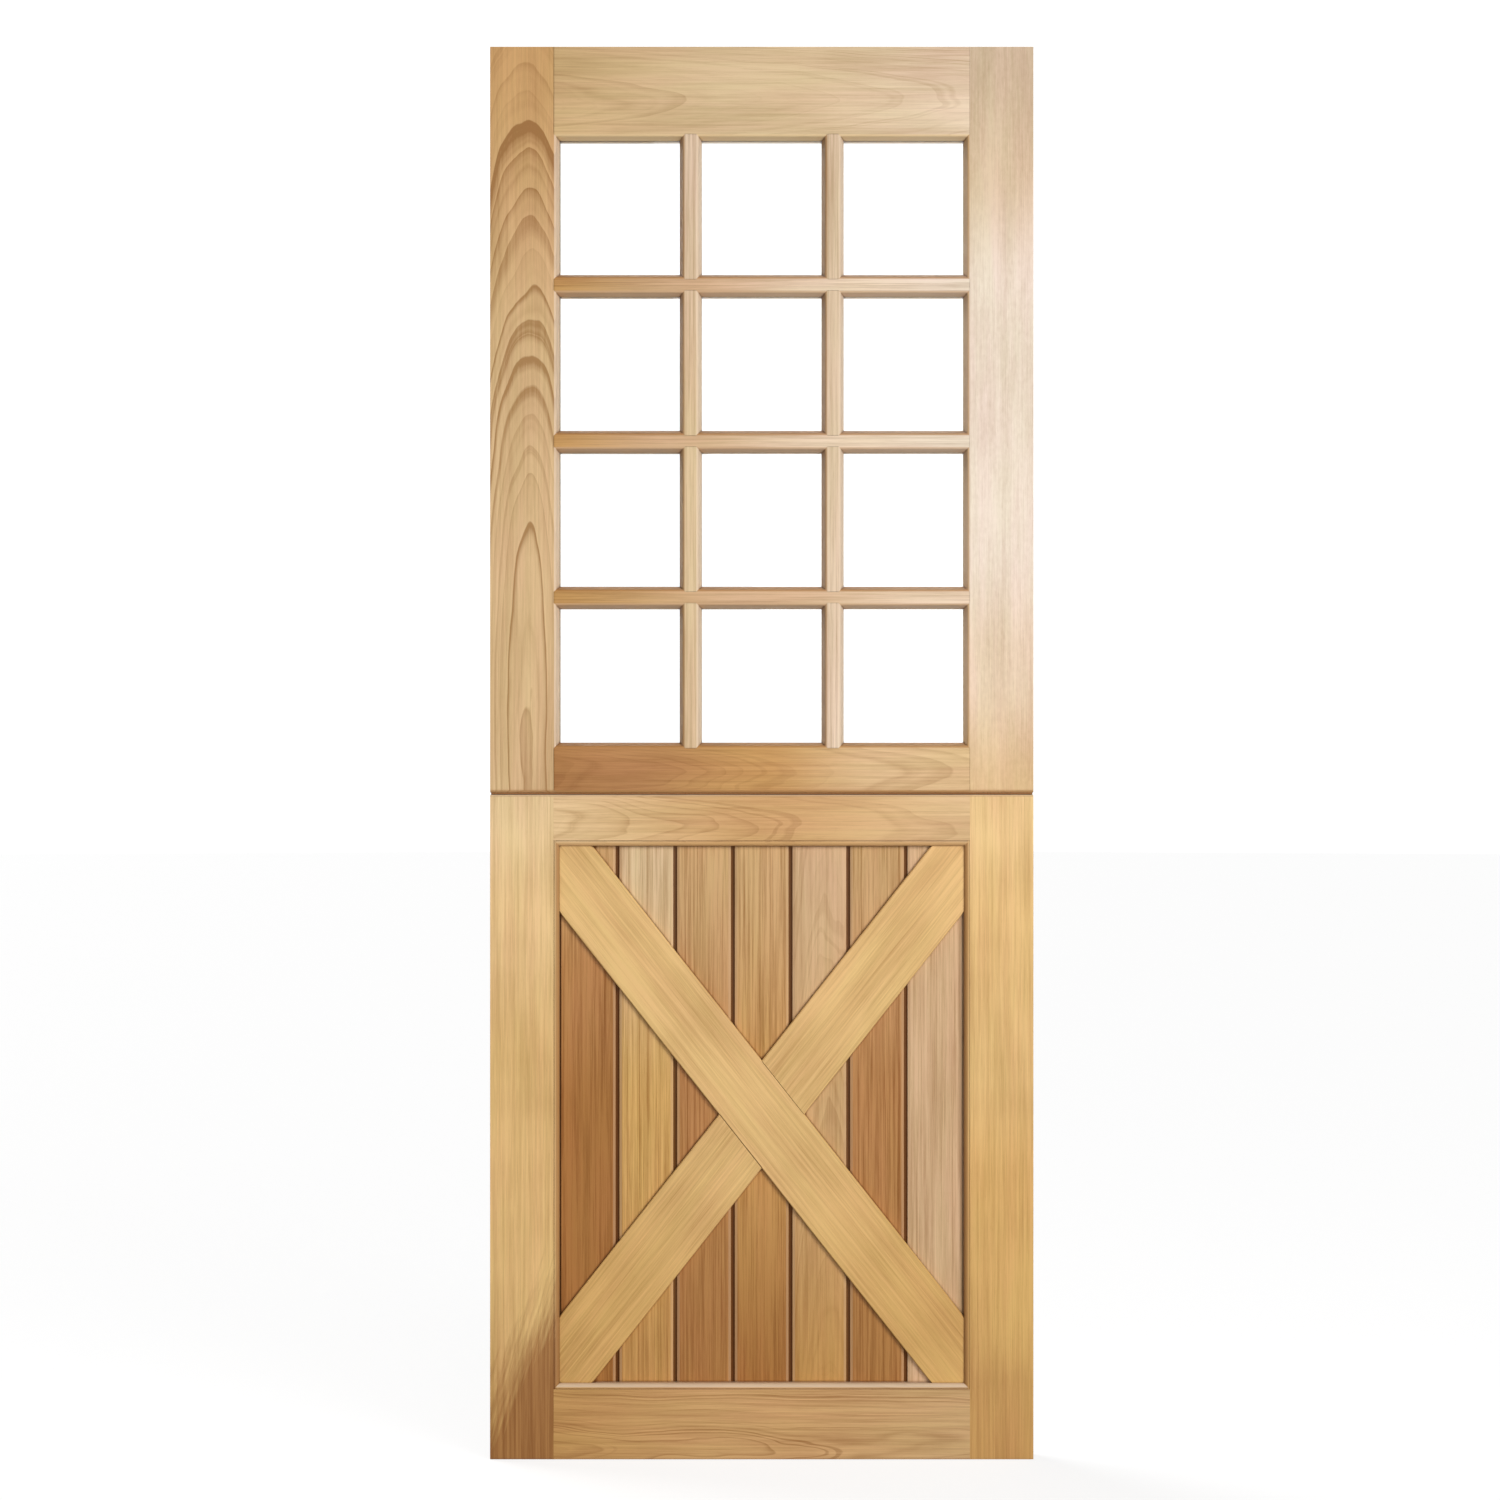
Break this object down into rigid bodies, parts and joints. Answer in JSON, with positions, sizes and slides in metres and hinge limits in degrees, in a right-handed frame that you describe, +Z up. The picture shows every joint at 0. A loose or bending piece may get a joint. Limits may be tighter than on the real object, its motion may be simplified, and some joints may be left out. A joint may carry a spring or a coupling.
{
  "type": "dutch stable door",
  "caption": "Split stable door in oiled oak: a glazed upper leaf with moulded bars over a boarded lower leaf with crossed braces, each leaf swinging on its own lift-off hinges.",
  "frame": {"origin": "middle of the closed door's bottom edge, at half its thickness", "axes": "+X to the hinge side as seen from outside, +Y from the outside face to the inside face, +Z up"},
  "size_m": [0.7645, 0.0565, 1.981],
  "materials": {
    "frame_oak": "oiled satin",
    "board_oak": "oiled satin",
    "brace_oak": "oiled satin",
    "bead_oak": "oiled satin",
    "clear_glass": "clear float",
    "hinge_steel": "satin"
  },
  "bodies": {
    "hinge_frame_flaps": {"bottom_leaf_lower_hinge_frame_flap": "hinge_steel", "bottom_leaf_lower_hinge_pin": "hinge_steel", "bottom_leaf_upper_hinge_frame_flap": "hinge_steel", "bottom_leaf_upper_hinge_pin": "hinge_steel", "top_leaf_lower_hinge_frame_flap": "hinge_steel", "top_leaf_lower_hinge_pin": "hinge_steel", "top_leaf_upper_hinge_frame_flap": "hinge_steel", "top_leaf_upper_hinge_pin": "hinge_steel"},
    "top_leaf": {"glazing_beads_row_1": "bead_oak", "glazing_beads_row_2": "bead_oak", "glazing_beads_row_3": "bead_oak", "glazing_beads_row_4": "bead_oak", "horizontal_bar_1": "frame_oak", "horizontal_bar_2": "frame_oak", "horizontal_bar_3": "frame_oak", "pane_1_1": "clear_glass", "pane_1_2": "clear_glass", "pane_1_3": "clear_glass", "pane_2_1": "clear_glass", "pane_2_2": "clear_glass", "pane_2_3": "clear_glass", "pane_3_1": "clear_glass", "pane_3_2": "clear_glass", "pane_3_3": "clear_glass", "pane_4_1": "clear_glass", "pane_4_2": "clear_glass", "pane_4_3": "clear_glass", "top_leaf_lower_hinge_leaf_flap": "hinge_steel", "top_leaf_upper_hinge_leaf_flap": "hinge_steel", "top_left_stile": "frame_oak", "top_rail": "frame_oak", "top_right_stile": "frame_oak", "upper_meeting_rail": "frame_oak", "vertical_bar_1": "frame_oak", "vertical_bar_2": "frame_oak"},
    "bottom_leaf": {"board_1": "board_oak", "board_2": "board_oak", "board_3": "board_oak", "board_4": "board_oak", "board_5": "board_oak", "board_6": "board_oak", "board_7": "board_oak", "bottom_leaf_lower_hinge_leaf_flap": "hinge_steel", "bottom_leaf_upper_hinge_leaf_flap": "hinge_steel", "bottom_left_stile": "frame_oak", "bottom_rail": "frame_oak", "bottom_right_stile": "frame_oak", "brace_falling": "brace_oak", "brace_rising": "brace_oak", "lower_meeting_rail": "frame_oak"}
  },
  "joints": [
    {"name": "top_leaf_swing", "type": "hinge", "parent": "hinge_frame_flaps", "child": "top_leaf", "pos_m": [0.3775, 0.0285, 0], "axis": [0, 0, -1], "range_deg": [0, 180]},
    {"name": "bottom_leaf_swing", "type": "hinge", "parent": "hinge_frame_flaps", "child": "bottom_leaf", "pos_m": [0.3775, 0.0285, 0], "axis": [0, 0, -1], "range_deg": [0, 180]}
  ]
}
